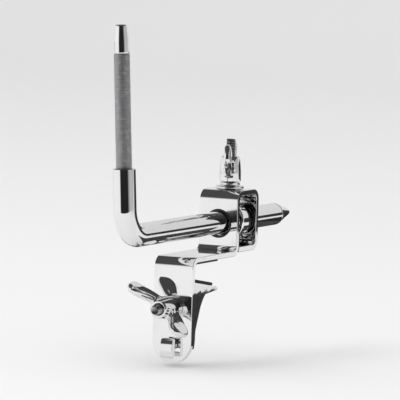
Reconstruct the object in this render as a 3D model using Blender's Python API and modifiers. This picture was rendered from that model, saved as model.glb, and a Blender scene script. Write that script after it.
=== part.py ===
"""Holder that clamps to a bass drum's hoop and carries a cowbell on an upright post.

Frame: metres, +Z up. The origin is the middle of the rubber seat that rests on top of the hoop,
+Y runs back over the drum along the rod, -Y is the player's side, +X is to the right.
"""

import math

import bmesh
import bpy
from mathutils import Matrix, Vector

# Driving dimensions, in metres
GAP = 0.0003                 # between pieces that touch
STRIP_W = 0.026              # width of the bent steel strip
STRIP_T = 0.0032             # its thickness
BEND_R = 0.0052              # centre-line radius of its bends
HOOP_DEPTH = 0.036           # depth of the wooden hoop, along Y
PAD_T = 0.001                # rubber seat on top of the hoop
PLATE_DROP = 0.060           # hoop top to the front plate's lower end
LOOP_FRONT = 0.0385          # front face of the loop's front wall
LOOP_BACK = 0.0685           # rear face of its back wall
LOOP_TOP = 0.0412            # upper face of its top plate
LOOP_FLOOR = 0.0034          # underside of its bottom plate
ROD_R = 0.0070               # L-rod
ROD_Z = 0.0212               # height of the rod's axis
ROD_LIFT = 0.0005            # the tightened eyebolt holds the rod this much above the holes' centre
LEG_Y = -0.0865              # centre of the upright leg
ROD_BEND_R = 0.0160          # centre-line radius of the rod's bend
ROD_END = 0.1170             # where the rod's straight leg ends and its nose starts
NOSE_L = 0.0210              # length of the pointed nose
LEG_TOP = 0.0620             # shoulder where the thick leg ends
POST_R = 0.00475             # knurled post
POST_TOP = 0.1470                # top of the knurled post when it stands upright
POST_LEAN = math.radians(3.0)  # the leg is turned this much to the left about the rod's axis
SCREW_Z = -0.0257            # height of the clamp screw
STUD_R = 0.0030              # M6 clamp stud
BOLT_R = 0.0030              # M6 eyebolt
BOLT_TOP = 0.0720            # end of its shank
CLAW_W = 0.0240
TONGUE_W = 0.0080
WING_SPAN_R = 0.0240         # radius swept by the wings
WING_T = 0.0046              # thickness of a wing
CLAMP_WING_TURN = math.radians(38)   # clamp wings: angle of the wing line below horizontal
TOP_WING_TURN = math.radians(110)    # top wings: angle of the wing line from +X

# Places that follow from them
FACE_Y = -HOOP_DEPTH / 2                       # rear face of the front plate, front face of the hoop
PLATE_LOW = PAD_T + GAP                        # underside of the plate over the hoop
PLATE_MID = PLATE_LOW + STRIP_T / 2
BOLT_Y = (LOOP_FRONT + LOOP_BACK) / 2
HOLE_R = 0.0088                                # holes in the loop's walls
LINER_R = 0.0078                               # inside of their liners
HOLE_Z = ROD_Z - ROD_LIFT

AXIS_X = Matrix.Rotation(math.radians(90), 4, "Y")
AXIS_Y = Matrix.Rotation(math.radians(-90), 4, "X")
# An outline's first coordinate runs along +Y, its second along +Z and its thickness along X
SIDEWAYS = Matrix(((0, 0, 1, 0), (1, 0, 0, 0), (0, 1, 0, 0), (0, 0, 0, 1)))

for old in list(bpy.data.objects):
    bpy.data.objects.remove(old)

PARTS = bpy.data.collections.new("cowbell_holder")
CUTTERS = bpy.data.collections.new("cutters")
for group in (PARTS, CUTTERS):
    bpy.context.scene.collection.children.link(group)


def finish(name, colour, roughness, metallic):
    material = bpy.data.materials.new(name)
    material.use_nodes = True
    shader = material.node_tree.nodes["Principled BSDF"]
    shader.inputs["Base Color"].default_value = (*colour, 1)
    shader.inputs["Roughness"].default_value = roughness
    shader.inputs["Metallic"].default_value = metallic
    return material


def chrome(name):
    return finish(name + "_chrome", (0.80, 0.81, 0.82), 0.06, 1.0)


def steel(name):
    return finish(name + "_steel", (0.45, 0.45, 0.46), 0.35, 1.0)


def black(name):
    return finish(name + "_black", (0.02, 0.02, 0.02), 0.6, 0.0)


def add(name, mesh, material, cutter=False):
    """Link a mesh as a named piece, or as a cutter that only its neighbours use."""
    piece = bpy.data.objects.new(name, mesh)
    (CUTTERS if cutter else PARTS).objects.link(piece)
    if cutter:
        piece.hide_render = True
        piece.display_type = "WIRE"
    else:
        piece.data.materials.append(material)
        mesh.shade_smooth()
        mesh.set_sharp_from_angle(angle=math.radians(35))
    return piece


def to_mesh(bm, name):
    mesh = bpy.data.meshes.new(name)
    bmesh.ops.recalc_face_normals(bm, faces=bm.faces)
    bm.to_mesh(mesh)
    bm.free()
    return mesh


def cylinder(name, radius, low, high, axis, sides=32):
    """A round bar between two places along an axis matrix, in that axis' own coordinate."""
    bm = bmesh.new()
    bmesh.ops.create_cone(bm, cap_ends=True, segments=sides, radius1=radius, radius2=radius, depth=high - low)
    bmesh.ops.translate(bm, verts=bm.verts, vec=(0, 0, (low + high) / 2))
    bm.transform(axis)
    return to_mesh(bm, name)


def box(name, low, high, bevel=0.0):
    bm = bmesh.new()
    bmesh.ops.create_cube(bm, size=1.0)
    size = Vector(high) - Vector(low)
    bmesh.ops.scale(bm, verts=bm.verts, vec=size)
    bmesh.ops.translate(bm, verts=bm.verts, vec=Vector(low) + size / 2)
    if bevel:
        bmesh.ops.bevel(bm, geom=bm.edges[:], offset=bevel, segments=2, profile=0.5, affect="EDGES")
    return to_mesh(bm, name)


def turned(name, profile, axis, sides=32):
    """Spin a closed profile of (radius, height) points about the axis."""
    bm = bmesh.new()
    corners = [bm.verts.new((radius, 0, height)) for radius, height in profile]
    edges = [bm.edges.new((a, b)) for a, b in zip(corners, corners[1:] + corners[:1])]
    bmesh.ops.spin(
        bm, geom=corners + edges, cent=(0, 0, 0), axis=(0, 0, 1), angle=math.tau, steps=sides, use_merge=True
    )
    bmesh.ops.remove_doubles(bm, verts=bm.verts, dist=0.000001)
    bmesh.ops.dissolve_degenerate(bm, dist=0.000001, edges=bm.edges)
    bm.transform(axis)
    return to_mesh(bm, name)


def outline(name, points, thickness, place):
    """A flat outline as a filled 2D curve, made a mesh: points in its plane, thickness across it."""
    curve = bpy.data.curves.new(name, "CURVE")
    curve.dimensions = "2D"
    curve.fill_mode = "BOTH"
    curve.extrude = thickness / 2
    spline = curve.splines.new("POLY")
    spline.points.add(len(points) - 1)
    for point, (a, b) in zip(spline.points, points):
        point.co = (a, b, 0, 1)
    spline.use_cyclic_u = True
    guide = bpy.data.objects.new(name, curve)
    CUTTERS.objects.link(guide)
    graph = bpy.context.evaluated_depsgraph_get()
    mesh = bpy.data.meshes.new_from_object(guide.evaluated_get(graph))
    bpy.data.objects.remove(guide)
    bm = bmesh.new()
    bm.from_mesh(mesh)
    bmesh.ops.remove_doubles(bm, verts=bm.verts, dist=0.000005)
    bm.transform(place)
    bpy.data.meshes.remove(mesh)
    return to_mesh(bm, name)


def arc(centre, radius, start, end, steps):
    """Points of an arc in a plane, with its angles in degrees."""
    angles = [math.radians(start + (end - start) * i / steps) for i in range(steps + 1)]
    return [(centre[0] + radius * math.cos(a), centre[1] + radius * math.sin(a)) for a in angles]


def boolean(piece, operation, mesh):
    """Cut or join one more shape, and keep the modifier on the piece."""
    other = add(piece.name + "_" + mesh.name, mesh, None, cutter=True)
    modifier = piece.modifiers.new(mesh.name, "BOOLEAN")
    modifier.operation = operation
    modifier.solver = "EXACT"
    modifier.object = other
    return other


def bent_path(corners, radius, steps=5):
    """Centre line of a bent strip: straight runs with an arc at each inner corner."""
    path = [Vector(corners[0])]
    for before, corner, after in zip(corners, corners[1:], corners[2:]):
        corner = Vector(corner)
        back = (Vector(before) - corner).normalized()
        ahead = (Vector(after) - corner).normalized()
        half = back.angle(ahead) / 2
        centre = corner + (back + ahead).normalized() * radius / math.sin(half)
        start = (corner + back * radius / math.tan(half) - centre).normalized()
        end = (corner + ahead * radius / math.tan(half) - centre).normalized()
        for i in range(steps + 1):
            path.append(centre + start.slerp(end, i / steps).normalized() * radius)
    path.append(Vector(corners[-1]))
    return path


def clamp_bracket():
    """Strip bent from the front plate over the hoop and round the loop, with all its holes."""
    wall_f = LOOP_FRONT + STRIP_T / 2
    wall_b = LOOP_BACK - STRIP_T / 2
    floor = LOOP_FLOOR + STRIP_T / 2
    corners = [
        (FACE_Y - STRIP_T / 2, -PLATE_DROP),
        (FACE_Y - STRIP_T / 2, PLATE_MID),
        (wall_f, PLATE_MID),
        (wall_f, LOOP_TOP - STRIP_T / 2),
        (wall_b, LOOP_TOP - STRIP_T / 2),
        (wall_b, floor),
        (wall_f + STRIP_T / 2 + 0.0004, floor),
    ]
    bm = bmesh.new()
    path = bent_path([Vector(c) for c in corners], BEND_R)
    line = [bm.verts.new((-STRIP_W / 2, p.x, p.y)) for p in path]
    edges = [bm.edges.new(pair) for pair in zip(line, line[1:])]
    swept = bmesh.ops.extrude_edge_only(bm, edges=edges)["geom"]
    moved = [v for v in swept if isinstance(v, bmesh.types.BMVert)]
    bmesh.ops.translate(bm, verts=moved, vec=(STRIP_W, 0, 0))
    ends = [v for v in bm.verts if abs(v.co.z + PLATE_DROP) < 1e-6]
    bmesh.ops.bevel(
        bm, geom=ends, offset=STRIP_W / 2 * 0.985, segments=9, profile=0.5, affect="VERTICES"
    )
    bracket = add("clamp_bracket", to_mesh(bm, "strip"), chrome("bracket"))
    thick = bracket.modifiers.new("strip thickness", "SOLIDIFY")
    thick.thickness = STRIP_T
    thick.offset = 0
    thick.use_even_offset = True
    wall_back = wall_f + STRIP_T / 2
    for name, radius, height in (("weld_above", 0.0016, floor + STRIP_T / 2), ("weld_below", 0.0013, LOOP_FLOOR)):
        bead = cylinder(name, radius, -STRIP_W / 2 + 0.0011, STRIP_W / 2 - 0.0011, AXIS_X, 10)
        sunk = 0.00017 if height > floor else -0.00017
        bead.transform(Matrix.Translation((0, wall_back - 0.00013, height - sunk)))
        boolean(bracket, "UNION", bead)
    screw_hole = cylinder("screw_hole", STUD_R + 0.0006, FACE_Y - 0.01, FACE_Y + 0.005, AXIS_Y)
    screw_hole.transform(Matrix.Translation((0, 0, SCREW_Z)))
    boolean(bracket, "DIFFERENCE", screw_hole)
    slot = box("tongue_slot", (-0.0058, FACE_Y - 0.01, -0.0532), (0.0058, FACE_Y + 0.005, -0.0452))
    boolean(bracket, "DIFFERENCE", slot)
    rod_holes = cylinder("rod_holes", HOLE_R, LOOP_FRONT - 0.01, LOOP_BACK + 0.01, AXIS_Y, 40)
    rod_holes.transform(Matrix.Translation((0, 0, HOLE_Z)))
    boolean(bracket, "DIFFERENCE", rod_holes)
    bolt_hole = cylinder("bolt_hole", BOLT_R + 0.0005, LOOP_TOP - 0.01, LOOP_TOP + 0.01, Matrix(), 28)
    bolt_hole.transform(Matrix.Translation((0, BOLT_Y, 0)))
    boolean(bracket, "DIFFERENCE", bolt_hole)


def hoop_pad():
    half = STRIP_W / 2 - 0.0015
    mesh = box("pad", (-half, FACE_Y + 0.0042, 0), (half, 0.0165, PAD_T), bevel=0.0002)
    add("hoop_pad", mesh, black("pad"))


def at_face(points):
    """Points given from the front plate's rear face, moved to the part's frame."""
    return [(FACE_Y + y, z) for y, z in points]


# The claw's side view, from the front plate's rear face
JAW_NEAR = (0.0030, -0.0108)     # where the jaw's flat starts
JAW_FAR = (0.0330, -0.0156)      # its tip
JAW_SLOPE = math.atan2(JAW_NEAR[1] - JAW_FAR[1], JAW_FAR[0] - JAW_NEAR[0])
WEB_FRONT = 0.0060
WEB_BACK = 0.0090


def claw():
    """Hooked casting: two cheeks, a web that the nut pulls on, the jaw and the tongue."""
    side = [
        (0.0008, -0.0106), JAW_NEAR, JAW_FAR, (0.0340, -0.0164), (0.0334, -0.0176),
        (0.0170, -0.0190), (0.0140, -0.0216), (0.0107, -0.0262), (0.0075, -0.0332),
        (0.0046, -0.0402), (0.0040, -0.0480), (0.0030, -0.0514), (0.0008, -0.0514),
    ]
    body = outline("claw", at_face(side), CLAW_W, SIDEWAYS)
    piece = add("claw", body, chrome("claw"))
    inner = CLAW_W - 0.0052
    front = [(-0.002, -0.0150), (WEB_FRONT, -0.0150), (WEB_FRONT, -0.0280), (0.0016, -0.0420), (-0.002, -0.0420)]
    boolean(piece, "DIFFERENCE", outline("front_pocket", at_face(front), inner, SIDEWAYS))
    rear = [(WEB_BACK, -0.0330), (0.0240, -0.0330), (0.0240, -0.0220), (0.0170, -0.0172), (WEB_BACK, -0.0165)]
    boolean(piece, "DIFFERENCE", outline("rear_pocket", at_face(rear), inner, SIDEWAYS))
    lip = [
        (0.0030, -0.0480), (-0.0064, -0.0480), (-0.0066, -0.0454), (-0.0080, -0.0446), (-0.0096, -0.0452),
        (-0.0106, -0.0480), (-0.0110, -0.0520), (-0.0106, -0.0556), (-0.0090, -0.0566), (-0.0072, -0.0556),
        (-0.0064, -0.0508), (0.0030, -0.0508),
    ]
    boolean(piece, "UNION", outline("tongue", at_face(lip), TONGUE_W, SIDEWAYS))
    slot = box(
        "screw_slot",
        (-STUD_R - 0.0006, FACE_Y + 0.003, SCREW_Z - 0.0042),
        (STUD_R + 0.0006, FACE_Y + 0.014, SCREW_Z + 0.0066),
    )
    boolean(piece, "DIFFERENCE", slot)


def claw_pad():
    """Rubber on the jaw, lying on its slope."""
    length = 0.026
    half = CLAW_W / 2 - 0.0015
    mesh = box("pad", (-half, 0, GAP), (half, length, GAP + 0.0018), bevel=0.0003)
    place = Matrix.Translation((0, FACE_Y + JAW_NEAR[0] + 0.0012, JAW_NEAR[1] - 0.0012 * math.tan(JAW_SLOPE)))
    mesh.transform(place @ Matrix.Rotation(-JAW_SLOPE, 4, "X"))
    add("claw_pad", mesh, black("claw_pad"))


NUT_FRONT = FACE_Y + WEB_BACK + GAP     # foremost line of the rounded nut
NUT_ROUND = 0.0060                      # radius of its rounded face
STUD_BACK = FACE_Y + 0.0235
WASHER_T = 0.0014


def clamp_screw():
    """Wing screw across the front plate: stud, wing head, washer, nut and retaining ring."""
    height = Matrix.Translation((0, 0, SCREW_Z))
    plate_front = FACE_Y - STRIP_T
    washer_front = plate_front - GAP - WASHER_T
    washer = turned(
        "washer",
        [(0.0034, washer_front), (0.0068, washer_front), (0.0068, plate_front - GAP), (0.0034, plate_front - GAP)],
        height @ AXIS_Y,
    )
    add("clamp_washer", washer, chrome("washer"))
    base = washer_front - GAP
    stud_front = base - 0.0215
    groove = STUD_BACK - 0.0018
    stud = turned(
        "stud",
        [
            (0, stud_front - 0.0006), (STUD_R - 0.0008, stud_front - 0.0006), (STUD_R, stud_front + 0.0002),
            (STUD_R, groove - 0.0010), (STUD_R - 0.0006, groove - 0.0010), (STUD_R - 0.0006, groove),
            (STUD_R, groove), (STUD_R, STUD_BACK - 0.0005), (STUD_R - 0.0006, STUD_BACK), (0, STUD_BACK),
        ],
        height @ AXIS_Y,
        24,
    )
    add("clamp_stud", stud, steel("stud"))
    ring = turned(
        "ring",
        [(STUD_R - 0.0003, groove - 0.0008), (0.0046, groove - 0.0008), (0.0046, groove - 0.0002),
         (STUD_R - 0.0003, groove - 0.0002)],
        height @ AXIS_Y,
        24,
    )
    piece = add("stud_ring", ring, steel("ring"))
    mouth = box("mouth", (-0.0014, groove - 0.002, SCREW_Z - 0.006), (0.0014, groove + 0.001, SCREW_Z))
    boolean(piece, "DIFFERENCE", mouth)
    spin = height @ Matrix.Rotation(CLAMP_WING_TURN, 4, "Y") @ Matrix.Translation((0, base, 0))
    wings("clamp_wing", STUD_R + GAP, 0.0180, 0.0200, spin @ Matrix.Rotation(math.radians(90), 4, "X"))
    half = 0.0085
    round_face = arc((NUT_FRONT + NUT_ROUND, SCREW_Z), NUT_ROUND, 125, 235, 10)
    nut = outline("nut", round_face + [(NUT_FRONT + 0.0052, round_face[-1][1]), (NUT_FRONT + 0.0052, round_face[0][1])],
                  half * 2, SIDEWAYS)
    piece = add("claw_nut", nut, steel("nut"))
    bore = cylinder("bore", STUD_R + GAP, NUT_FRONT - 0.002, NUT_FRONT + 0.010, AXIS_Y, 24)
    bore.transform(height)
    boolean(piece, "DIFFERENCE", bore)


def wings(name, bore_r, hub_top, lobe_mid, place):
    """Cast wing head standing on z = 0 of its own frame, its wing line along X, then put in place."""
    hub = turned(
        "hub",
        [(bore_r, 0), (0.0066, 0), (0.0070, 0.0006), (0.0068, 0.0060), (0.0058, hub_top - 0.0012),
         (0.0050, hub_top), (bore_r, hub_top)],
        Matrix(),
        28,
    )
    piece = add(name, hub, chrome(name))
    lobe = (
        [(0.0048, 0.0030), (0.0090, 0.0045), (0.0140, 0.0090)]
        + arc((WING_SPAN_R - 0.0052, lobe_mid), 0.0052, -50, 110, 8)
        + [(0.0120, lobe_mid + 0.0005), (0.0085, lobe_mid - 0.0035), (0.0048, lobe_mid - 0.0045)]
    )
    upright = Matrix.Rotation(math.radians(90), 4, "X")
    boolean(piece, "UNION", outline("right_wing", lobe, WING_T, upright))
    mirrored = [(-x, z) for x, z in reversed(lobe)]
    boolean(piece, "UNION", outline("left_wing", mirrored, WING_T, upright))
    for cutter in [piece] + [m.object for m in piece.modifiers]:
        cutter.data.transform(place)


def eyebolt_and_nut():
    """Eyebolt between the loop's walls with its sleeve, washers and wing nut above the loop."""
    ring_r = 0.0122
    hole_r = 0.0085
    half = 0.0045
    eye_place = Matrix.Translation((0, BOLT_Y, ROD_Z)) @ AXIS_Y
    ring = turned(
        "eye",
        [(hole_r, -half), (ring_r - 0.0012, -half), (ring_r, -half + 0.0012), (ring_r, half - 0.0012),
         (ring_r - 0.0012, half), (hole_r, half)],
        eye_place,
        36,
    )
    bolt = add("eyebolt", ring, chrome("eyebolt"))
    shank = turned(
        "shank",
        [(0, ROD_Z + 0.0100), (BOLT_R, ROD_Z + 0.0100), (BOLT_R, BOLT_TOP - 0.0008), (BOLT_R - 0.0008, BOLT_TOP),
         (0, BOLT_TOP)],
        Matrix.Translation((0, BOLT_Y, 0)),
        28,
    )
    boolean(bolt, "UNION", shank)
    sleeve = turned(
        "sleeve",
        [(ROD_R + GAP, -0.0052), (hole_r - GAP, -0.0052), (hole_r - GAP, 0.0052), (ROD_R + GAP, 0.0052)],
        eye_place,
        36,
    )
    add("eye_sleeve", sleeve, black("sleeve"))
    top = Matrix.Translation((0, BOLT_Y, 0))
    low = LOOP_TOP + GAP
    washer = turned(
        "washer", [(0.0034, low), (0.0087, low), (0.0087, low + 0.0016), (0.0034, low + 0.0016)], top
    )
    add("flat_washer", washer, chrome("flat_washer"))
    low += 0.0016 + GAP
    lock = turned(
        "lock", [(0.0034, low), (0.0062, low), (0.0062, low + 0.0020), (0.0034, low + 0.0020)], top
    )
    piece = add("lock_washer", lock, steel("lock"))
    split = box("split", (0.002, BOLT_Y - 0.0007, low - 0.001), (0.012, BOLT_Y + 0.0007, low + 0.003))
    boolean(piece, "DIFFERENCE", split)
    low += 0.0020 + GAP
    spin = Matrix.Translation((0, BOLT_Y, low)) @ Matrix.Rotation(TOP_WING_TURN, 4, "Z")
    wings("wing_nut", BOLT_R + GAP, 0.0160, 0.0184, spin)


def rod_assembly():
    """L-rod with its nose and knurled post, turned about its own axis to the leaning rest pose."""
    pivot = bpy.data.objects.new("rod_axis", None)
    pivot.location = (0, 0, ROD_Z)
    PARTS.objects.link(pivot)
    rod_path = bent_path([Vector((ROD_END, 0)), Vector((LEG_Y, 0)), Vector((LEG_Y, LEG_TOP - ROD_Z))], ROD_BEND_R, 12)
    curve = bpy.data.curves.new("rod", "CURVE")
    curve.dimensions = "3D"
    curve.bevel_depth = ROD_R
    curve.bevel_resolution = 6
    curve.use_fill_caps = True
    spline = curve.splines.new("POLY")
    spline.points.add(len(rod_path) - 1)
    for point, place in zip(spline.points, rod_path):
        point.co = (0, place.x, place.y, 1)
    guide = bpy.data.objects.new("rod_curve", curve)
    CUTTERS.objects.link(guide)
    graph = bpy.context.evaluated_depsgraph_get()
    mesh = bpy.data.meshes.new_from_object(guide.evaluated_get(graph))
    bpy.data.objects.remove(guide)
    bm = bmesh.new()
    bm.from_mesh(mesh)
    bmesh.ops.remove_doubles(bm, verts=bm.verts, dist=0.000005)
    rod = add("l_rod", to_mesh(bm, "rod"), chrome("rod"))
    nose_bore = cylinder("nose_bore", 0.0045, ROD_END - 0.009, ROD_END + 0.005, AXIS_Y, 24)
    leg_top = LEG_TOP - ROD_Z
    post_bore = cylinder("post_bore", POST_R + GAP, leg_top - 0.016, leg_top + 0.005, Matrix(), 24)
    post_bore.transform(Matrix.Translation((0, LEG_Y, 0)))
    cutters = [boolean(rod, "DIFFERENCE", nose_bore), boolean(rod, "DIFFERENCE", post_bore)]
    nose = turned(
        "nose",
        [(0, ROD_END - 0.0085), (0.0042, ROD_END - 0.0085), (0.0042, ROD_END + GAP), (ROD_R - 0.0001, ROD_END + GAP),
         (ROD_R - 0.0001, ROD_END + 0.0008), (0.0022, ROD_END + NOSE_L - 0.0006), (0.0014, ROD_END + NOSE_L),
         (0, ROD_END + NOSE_L)],
        AXIS_Y,
    )
    nose = add("rod_nose", nose, chrome("nose"))
    tip = POST_TOP - ROD_Z
    post = turned(
        "post",
        [(0, leg_top - 0.0155), (POST_R, leg_top - 0.0155), (POST_R, tip - 0.0100), (POST_R - 0.0010, tip - 0.0010),
         (POST_R - 0.0018, tip), (0, tip)],
        Matrix.Translation((0, LEG_Y, 0)),
        28,
    )
    post = add("knurled_post", post, steel("post"))
    for piece in [rod, nose, post] + cutters:
        piece.parent = pivot
    pivot.rotation_euler = (0, -POST_LEAN, 0)


def hole_liners():
    """Plastic rings in the loop's two holes, with a flange inside the loop."""
    for name, outer, inner in (
        ("front_hole_liner", LOOP_FRONT, LOOP_FRONT + STRIP_T),
        ("back_hole_liner", LOOP_BACK, LOOP_BACK - STRIP_T),
    ):
        inward = 1 if inner > outer else -1
        wall = HOLE_R - GAP
        profile = [
            (LINER_R, outer - inward * 0.0004), (wall, outer - inward * 0.0004), (wall, inner + inward * GAP),
            (HOLE_R + 0.0004, inner + inward * GAP), (HOLE_R + 0.0004, inner + inward * 0.0012),
            (LINER_R, inner + inward * 0.0012),
        ]
        mesh = turned(name, profile, Matrix.Translation((0, 0, HOLE_Z)) @ AXIS_Y, 36)
        add(name, mesh, black(name))


clamp_bracket()
hoop_pad()
claw()
claw_pad()
clamp_screw()
eyebolt_and_nut()
rod_assembly()
hole_liners()
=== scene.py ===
# %% [markdown]
# # A chromed cowbell holder for a bass drum
# The holder hooks onto the hoop of a bass drum. A bent steel strip lies over the hoop and carries a square
# loop, an eyebolt in the loop grips a thick L-shaped rod, and a knurled post stands on the rod's end for the
# cowbell. Nearly everything is plated, so what the eye reads are reflections: this lesson is mostly about
# clean curved surfaces, small rounded edges and a studio that gives chrome something to mirror.

# %% Load the working model as the frame
import math

import bmesh
import bpy
from mathutils import Matrix, Vector


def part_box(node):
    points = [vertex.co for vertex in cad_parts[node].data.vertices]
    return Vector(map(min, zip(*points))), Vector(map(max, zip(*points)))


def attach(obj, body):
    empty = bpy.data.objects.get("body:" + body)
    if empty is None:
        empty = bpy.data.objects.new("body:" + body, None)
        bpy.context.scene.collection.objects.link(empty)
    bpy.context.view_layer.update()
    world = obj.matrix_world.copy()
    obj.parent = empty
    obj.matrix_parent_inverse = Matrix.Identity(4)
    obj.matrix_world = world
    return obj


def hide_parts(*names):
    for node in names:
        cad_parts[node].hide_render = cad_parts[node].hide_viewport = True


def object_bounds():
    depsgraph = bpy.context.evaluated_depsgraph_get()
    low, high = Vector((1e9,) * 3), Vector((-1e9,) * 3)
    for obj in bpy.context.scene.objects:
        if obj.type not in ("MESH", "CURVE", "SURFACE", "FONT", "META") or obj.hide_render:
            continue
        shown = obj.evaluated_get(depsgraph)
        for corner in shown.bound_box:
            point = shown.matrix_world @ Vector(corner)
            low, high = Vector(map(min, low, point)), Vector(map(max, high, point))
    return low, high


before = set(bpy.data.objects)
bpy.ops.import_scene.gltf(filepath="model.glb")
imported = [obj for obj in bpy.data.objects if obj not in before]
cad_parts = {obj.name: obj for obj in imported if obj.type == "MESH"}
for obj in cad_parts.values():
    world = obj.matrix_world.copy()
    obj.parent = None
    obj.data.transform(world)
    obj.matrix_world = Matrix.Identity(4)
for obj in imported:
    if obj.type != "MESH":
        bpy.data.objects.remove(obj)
cad_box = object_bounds()
print("CAD box in metres:", [round(v, 4) for corner in cad_box for v in corner])

# %% [markdown]
# ## Sizes
# The frame already knows where every working piece sits, so the outer sizes are read from it. What a box
# can't tell, such as the thickness of the strip or the size of a thread, is named here once.

# %% Sizes shared by several pieces
MM = 0.001
STRIP_T = 3.2 * MM
BEND_R = 5.2 * MM
ROD_R = 7.0 * MM
ROD_BEND_R = 16.0 * MM
ROD_LIFT = 0.5 * MM
HOLE_R = 8.8 * MM
POST_R = 4.75 * MM
POST_LEAN = math.radians(3.0)
STUD_R = 3.0 * MM
BOLT_R = 3.0 * MM
GAP = 0.3 * MM
LOOP_Y = 38.5 * MM
TOP_Z = 1.3 * MM
FLOOR_Z = 3.4 * MM

strip_low, strip_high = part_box("clamp_bracket")
rod_low, rod_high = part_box("l_rod")
nose_low, nose_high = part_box("rod_nose")
eye_low, eye_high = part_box("eyebolt")
stud_low, stud_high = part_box("clamp_stud")
wing_low, wing_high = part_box("wing_nut")
washer_low, washer_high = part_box("clamp_washer")
claw_low, claw_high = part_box("claw")

STRIP_W = strip_high[0] - strip_low[0]
FACE_Y = strip_low[1] + STRIP_T
ROD_Z = (nose_low[2] + nose_high[2]) / 2
LEG_Y = rod_low[1] + ROD_R
BOLT_Y = (eye_low[1] + eye_high[1]) / 2
SCREW_Z = (stud_low[2] + stud_high[2]) / 2
print("rod height", round(ROD_Z, 4), "leg at", round(LEG_Y, 4), "bolt at", round(BOLT_Y, 4))

# %% [markdown]
# ## Shader maths in plain Python
# A procedural finish is a small sum: some noise, scaled and added to a roughness. Wrapping a node socket in
# a class whose operators add Math nodes lets the sum be written as a sum. Every other node comes from one
# method that takes the node's type, its settings, and what goes into its sockets.

# %% A socket that can be calculated with
class Value:
    """A node socket that takes part in Python expressions; each operator adds a Math node."""

    def __init__(self, nodes, socket):
        self.nodes = nodes
        self.socket = socket

    def _with(self, operation, first, second):
        return self.nodes.node("Math", {0: first, 1: second}, operation=operation)

    def __add__(self, other):
        return self._with("ADD", self, other)

    __radd__ = __add__

    def __sub__(self, other):
        return self._with("SUBTRACT", self, other)

    def __rsub__(self, other):
        return self._with("SUBTRACT", other, self)

    def __mul__(self, other):
        return self._with("MULTIPLY", self, other)

    __rmul__ = __mul__


class Nodes:
    """A node tree, and the one method that adds to it."""

    def __init__(self, tree):
        self.tree = tree

    def node(self, kind, inputs, output=0, stops=None, **settings):
        made = self.tree.nodes.new("ShaderNode" + kind)
        for key, value in settings.items():
            setattr(made, key, value)
        if stops:
            ramp = made.color_ramp
            for at, _ in stops[2:]:
                ramp.elements.new(at)
            for element, (at, colour) in zip(ramp.elements, stops):
                element.position = at
                element.color = (*colour, 1)
        for key, value in inputs.items():
            if isinstance(value, Value):
                self.tree.links.new(value.socket, made.inputs[key])
            else:
                made.inputs[key].default_value = value
        return Value(self, made.outputs[output])


print("a Value and a tree of Nodes are ready")

# %% [markdown]
# A finish keeps what is the same all over the piece as plain numbers on the Principled shader's own
# sockets. Only what changes over the surface comes from nodes, and those read the piece's own coordinates,
# so the pattern stays put when the piece moves.

# %% One finish
class Finish(Nodes):
    """One material: a Principled shader with constants on its own sockets, and nodes that feed it."""

    def __init__(self, name, colour, roughness, metallic, **extra):
        self.material = bpy.data.materials.new(name)
        self.material.use_nodes = True
        super().__init__(self.material.node_tree)
        self.shader = self.tree.nodes["Principled BSDF"]
        self.shader.inputs["Base Color"].default_value = (*colour, 1)
        self.shader.inputs["Roughness"].default_value = roughness
        self.shader.inputs["Metallic"].default_value = metallic
        for socket, value in extra.items():
            self.shader.inputs[socket.replace("_", " ")].default_value = value
        self.place = self.node("TexCoord", {}, output="Object")

    def noise(self, scale, detail=3.0, roughness=0.5):
        inputs = {"Vector": self.place, "Scale": scale, "Detail": detail, "Roughness": roughness}
        return self.node("TexNoise", inputs)

    def smooth(self, value, low, high):
        """0 below low, 1 above high, and a soft step between."""
        inputs = {0: value, 1: low, 2: high, 3: 0.0, 4: 1.0}
        return self.node("MapRange", inputs, interpolation_type="SMOOTHSTEP", clamp=True)

    def tint(self, factor, first, second):
        inputs = {0: factor, 6: (*first, 1), 7: (*second, 1)}
        return self.node("Mix", inputs, output=2, data_type="RGBA", clamp_factor=True)

    def feed(self, socket, value):
        self.tree.links.new(value.socket, self.shader.inputs[socket])

    def bump(self, height, strength, distance):
        self.feed("Normal", self.node("Bump", {"Height": height, "Strength": strength, "Distance": distance}))


print("shader helpers ready")

# %% [markdown]
# ## Chrome plate
# Plating is a mirror, but a used one: a faint unevenness from the polished steel below, thin smudges where
# hands have turned the screws, and hair scratches. All of it stays small, because chrome that is visibly
# rough stops looking like chrome. The smudges come from a stretched noise, the scratches from a second one.

# %% Mirror chrome, and the softer chrome of the castings
def chrome(name, tone, smudge, waviness, wave_scale):
    made = Finish(name, (tone, tone, tone * 1.012), 0.035, 1.0)
    hands = made.smooth(made.noise(55.0, 4.0, 0.6), 0.46, 0.72)
    drawn = made.node("Mapping", {"Vector": made.place, "Scale": (1400.0, 90.0, 90.0)})
    hairs = made.node("TexNoise", {"Vector": drawn, "Scale": 1.0, "Detail": 1.0})
    scratch = made.smooth(hairs, 0.66, 0.74)
    made.feed("Roughness", 0.03 + hands * smudge + scratch * 0.05)
    worn = (tone * 0.9, tone * 0.9, tone * 0.92)
    made.feed("Base Color", made.tint(hands * 0.5 + scratch * 0.3, (tone,) * 3, worn))
    made.bump(made.noise(wave_scale, 1.0), waviness, 0.0004)
    return made.material


MIRROR = chrome("mirror_chrome", 0.86, 0.05, 0.05, 70.0)
ROD_CHROME = chrome("rod_chrome", 0.84, 0.06, 0.04, 110.0)
CAST_CHROME = chrome("cast_chrome", 0.83, 0.08, 0.16, 150.0)
print("chrome finishes:", MIRROR.name, ROD_CHROME.name, CAST_CHROME.name)
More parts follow.
